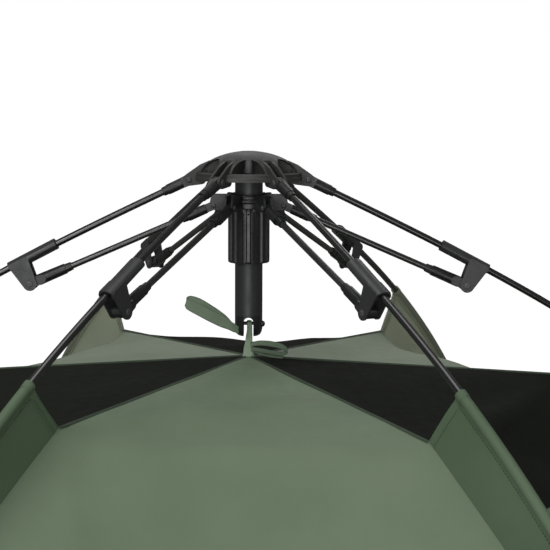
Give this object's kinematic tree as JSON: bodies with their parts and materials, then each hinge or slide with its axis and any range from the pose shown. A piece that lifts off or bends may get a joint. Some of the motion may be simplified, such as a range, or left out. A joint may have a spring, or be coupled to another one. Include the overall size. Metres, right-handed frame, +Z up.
{
  "type": "tarp shelter",
  "caption": "Pop-up tarp shelter: domed umbrella hub with curved poles, braced by struts from a sliding runner, over a peaked fabric roof, on folding legs with rubber feet.",
  "frame": {"origin": "on the ground under the centre tube, at the middle of the ring of feet", "axes": "+Z up along the centre tube, +X out along leg 1, -Y the front, through the middle of roof panel 5"},
  "size_m": [2.5172, 2.1848, 1.6665],
  "materials": {
    "green_cloth": "matte coated woven polyester",
    "dark_mesh": "matte dark coated woven polyester",
    "green_webbing": "matte flat tape",
    "pole_gloss_black": "gloss black",
    "strut_black": "gloss black",
    "tube_black": "satin black",
    "foot_rubber": "matte black",
    "grip_plastic": "satin black, fluted",
    "black_plastic": "satin black moulded"
  },
  "bodies": {
    "hub": {"hub_cap": "black_plastic", "hub_boss": "black_plastic", "center_tube": "tube_black", "tube_fork": "black_plastic", "roof_panel_1": "green_cloth", "roof_panel_2": "green_cloth", "roof_panel_3": "green_cloth", "roof_panel_4": "green_cloth", "roof_panel_5": "green_cloth", "roof_panel_6": "green_cloth", "vent_panel_2": "dark_mesh", "vent_panel_4": "dark_mesh", "vent_panel_6": "dark_mesh", "short_tie": "green_webbing", "long_tie": "green_webbing", "tie_bow": "green_webbing"},
    "runner": {"runner_plate": "black_plastic", "pull_grip": "grip_plastic"},
    "pole_1": {"upper_pole_1": "pole_gloss_black", "pole_eye_1": "black_plastic", "strut_bracket_1": "black_plastic", "knee_clevis_1": "black_plastic"},
    "strut_1": {"strut_1": "strut_black"},
    "leg_1": {"lower_leg_1": "pole_gloss_black", "foot_1": "foot_rubber"},
    "pole_2": {"upper_pole_2": "pole_gloss_black", "pole_eye_2": "black_plastic", "strut_bracket_2": "black_plastic", "knee_clevis_2": "black_plastic"},
    "strut_2": {"strut_2": "strut_black"},
    "leg_2": {"lower_leg_2": "pole_gloss_black", "foot_2": "foot_rubber"},
    "pole_3": {"upper_pole_3": "pole_gloss_black", "pole_eye_3": "black_plastic", "strut_bracket_3": "black_plastic", "knee_clevis_3": "black_plastic"},
    "strut_3": {"strut_3": "strut_black"},
    "leg_3": {"lower_leg_3": "pole_gloss_black", "foot_3": "foot_rubber"},
    "pole_4": {"upper_pole_4": "pole_gloss_black", "pole_eye_4": "black_plastic", "strut_bracket_4": "black_plastic", "knee_clevis_4": "black_plastic"},
    "strut_4": {"strut_4": "strut_black"},
    "leg_4": {"lower_leg_4": "pole_gloss_black", "foot_4": "foot_rubber"},
    "pole_5": {"upper_pole_5": "pole_gloss_black", "pole_eye_5": "black_plastic", "strut_bracket_5": "black_plastic", "knee_clevis_5": "black_plastic"},
    "strut_5": {"strut_5": "strut_black"},
    "leg_5": {"lower_leg_5": "pole_gloss_black", "foot_5": "foot_rubber"},
    "pole_6": {"upper_pole_6": "pole_gloss_black", "pole_eye_6": "black_plastic", "strut_bracket_6": "black_plastic", "knee_clevis_6": "black_plastic"},
    "strut_6": {"strut_6": "strut_black"},
    "leg_6": {"lower_leg_6": "pole_gloss_black", "foot_6": "foot_rubber"}
  },
  "joints": [
    {"name": "pole_fold_1", "type": "hinge", "parent": "hub", "child": "pole_1", "pos_m": [0.0855, 0, 1.625], "axis": [0, 1, 0], "range_deg": [0, 36], "deforming": ["roof_panel_1", "roof_panel_2", "roof_panel_3", "roof_panel_4", "roof_panel_5", "roof_panel_6", "vent_panel_2", "vent_panel_4", "vent_panel_6", "long_tie"]},
    {"name": "pole_fold_2", "type": "hinge", "parent": "hub", "child": "pole_2", "pos_m": [0.04275, 0.07404, 1.625], "axis": [-0.866, 0.5, 0], "range_deg": [0, 36]},
    {"name": "pole_fold_3", "type": "hinge", "parent": "hub", "child": "pole_3", "pos_m": [-0.04275, 0.07404, 1.625], "axis": [-0.866, -0.5, 0], "range_deg": [0, 36]},
    {"name": "pole_fold_4", "type": "hinge", "parent": "hub", "child": "pole_4", "pos_m": [-0.0855, 0, 1.625], "axis": [0, -1, 0], "range_deg": [0, 36]},
    {"name": "pole_fold_5", "type": "hinge", "parent": "hub", "child": "pole_5", "pos_m": [-0.04275, -0.07404, 1.625], "axis": [0.866, -0.5, 0], "range_deg": [0, 36]},
    {"name": "pole_fold_6", "type": "hinge", "parent": "hub", "child": "pole_6", "pos_m": [0.04275, -0.07404, 1.625], "axis": [0.866, 0.5, 0], "range_deg": [0, 36]},
    {"name": "runner_slide", "type": "slide", "parent": "hub", "child": "runner", "axis": [0, 0, 1], "range_m": [0, 0.03617]},
    {"name": "strut_fold_1", "type": "hinge", "parent": "runner", "child": "strut_1", "pos_m": [0.0505, 0, 1.588], "axis": [0, 1, 0], "range_deg": [0, 39.47]},
    {"name": "strut_fold_2", "type": "hinge", "parent": "runner", "child": "strut_2", "pos_m": [0.02525, 0.04373, 1.588], "axis": [-0.866, 0.5, 0], "range_deg": [0, 39.47]},
    {"name": "strut_fold_3", "type": "hinge", "parent": "runner", "child": "strut_3", "pos_m": [-0.02525, 0.04373, 1.588], "axis": [-0.866, -0.5, 0], "range_deg": [0, 39.47]},
    {"name": "strut_fold_4", "type": "hinge", "parent": "runner", "child": "strut_4", "pos_m": [-0.0505, 0, 1.588], "axis": [0, -1, 0], "range_deg": [0, 39.47]},
    {"name": "strut_fold_5", "type": "hinge", "parent": "runner", "child": "strut_5", "pos_m": [-0.02525, -0.04373, 1.588], "axis": [0.866, -0.5, 0], "range_deg": [0, 39.47]},
    {"name": "strut_fold_6", "type": "hinge", "parent": "runner", "child": "strut_6", "pos_m": [0.02525, -0.04373, 1.588], "axis": [0.866, 0.5, 0], "range_deg": [0, 39.47]},
    {"name": "knee_1", "type": "hinge", "parent": "pole_1", "child": "leg_1", "pos_m": [0.92742, 0, 1.01599], "axis": [0, -1, 0], "range_deg": [0, 198]},
    {"name": "knee_2", "type": "hinge", "parent": "pole_2", "child": "leg_2", "pos_m": [0.46371, 0.80317, 1.01599], "axis": [0.866, -0.5, 0], "range_deg": [0, 198]},
    {"name": "knee_3", "type": "hinge", "parent": "pole_3", "child": "leg_3", "pos_m": [-0.46371, 0.80317, 1.01599], "axis": [0.866, 0.5, 0], "range_deg": [0, 198]},
    {"name": "knee_4", "type": "hinge", "parent": "pole_4", "child": "leg_4", "pos_m": [-0.92742, 0, 1.01599], "axis": [0, 1, 0], "range_deg": [0, 198]},
    {"name": "knee_5", "type": "hinge", "parent": "pole_5", "child": "leg_5", "pos_m": [-0.46371, -0.80317, 1.01599], "axis": [-0.866, 0.5, 0], "range_deg": [0, 198]},
    {"name": "knee_6", "type": "hinge", "parent": "pole_6", "child": "leg_6", "pos_m": [0.46371, -0.80317, 1.01599], "axis": [-0.866, -0.5, 0], "range_deg": [0, 198]}
  ],
  "couplings": [
    {"joint": "pole_fold_2", "follows": "pole_fold_1", "ratio": 1},
    {"joint": "pole_fold_3", "follows": "pole_fold_1", "ratio": 1},
    {"joint": "pole_fold_4", "follows": "pole_fold_1", "ratio": 1},
    {"joint": "pole_fold_5", "follows": "pole_fold_1", "ratio": 1},
    {"joint": "pole_fold_6", "follows": "pole_fold_1", "ratio": 1},
    {"joint": "runner_slide", "follows": "pole_fold_1", "m_per_rad": 0.057254},
    {"joint": "strut_fold_1", "follows": "pole_fold_1", "ratio": 1.095},
    {"joint": "strut_fold_2", "follows": "pole_fold_1", "ratio": 1.095},
    {"joint": "strut_fold_3", "follows": "pole_fold_1", "ratio": 1.095},
    {"joint": "strut_fold_4", "follows": "pole_fold_1", "ratio": 1.095},
    {"joint": "strut_fold_5", "follows": "pole_fold_1", "ratio": 1.095},
    {"joint": "strut_fold_6", "follows": "pole_fold_1", "ratio": 1.095}
  ]
}
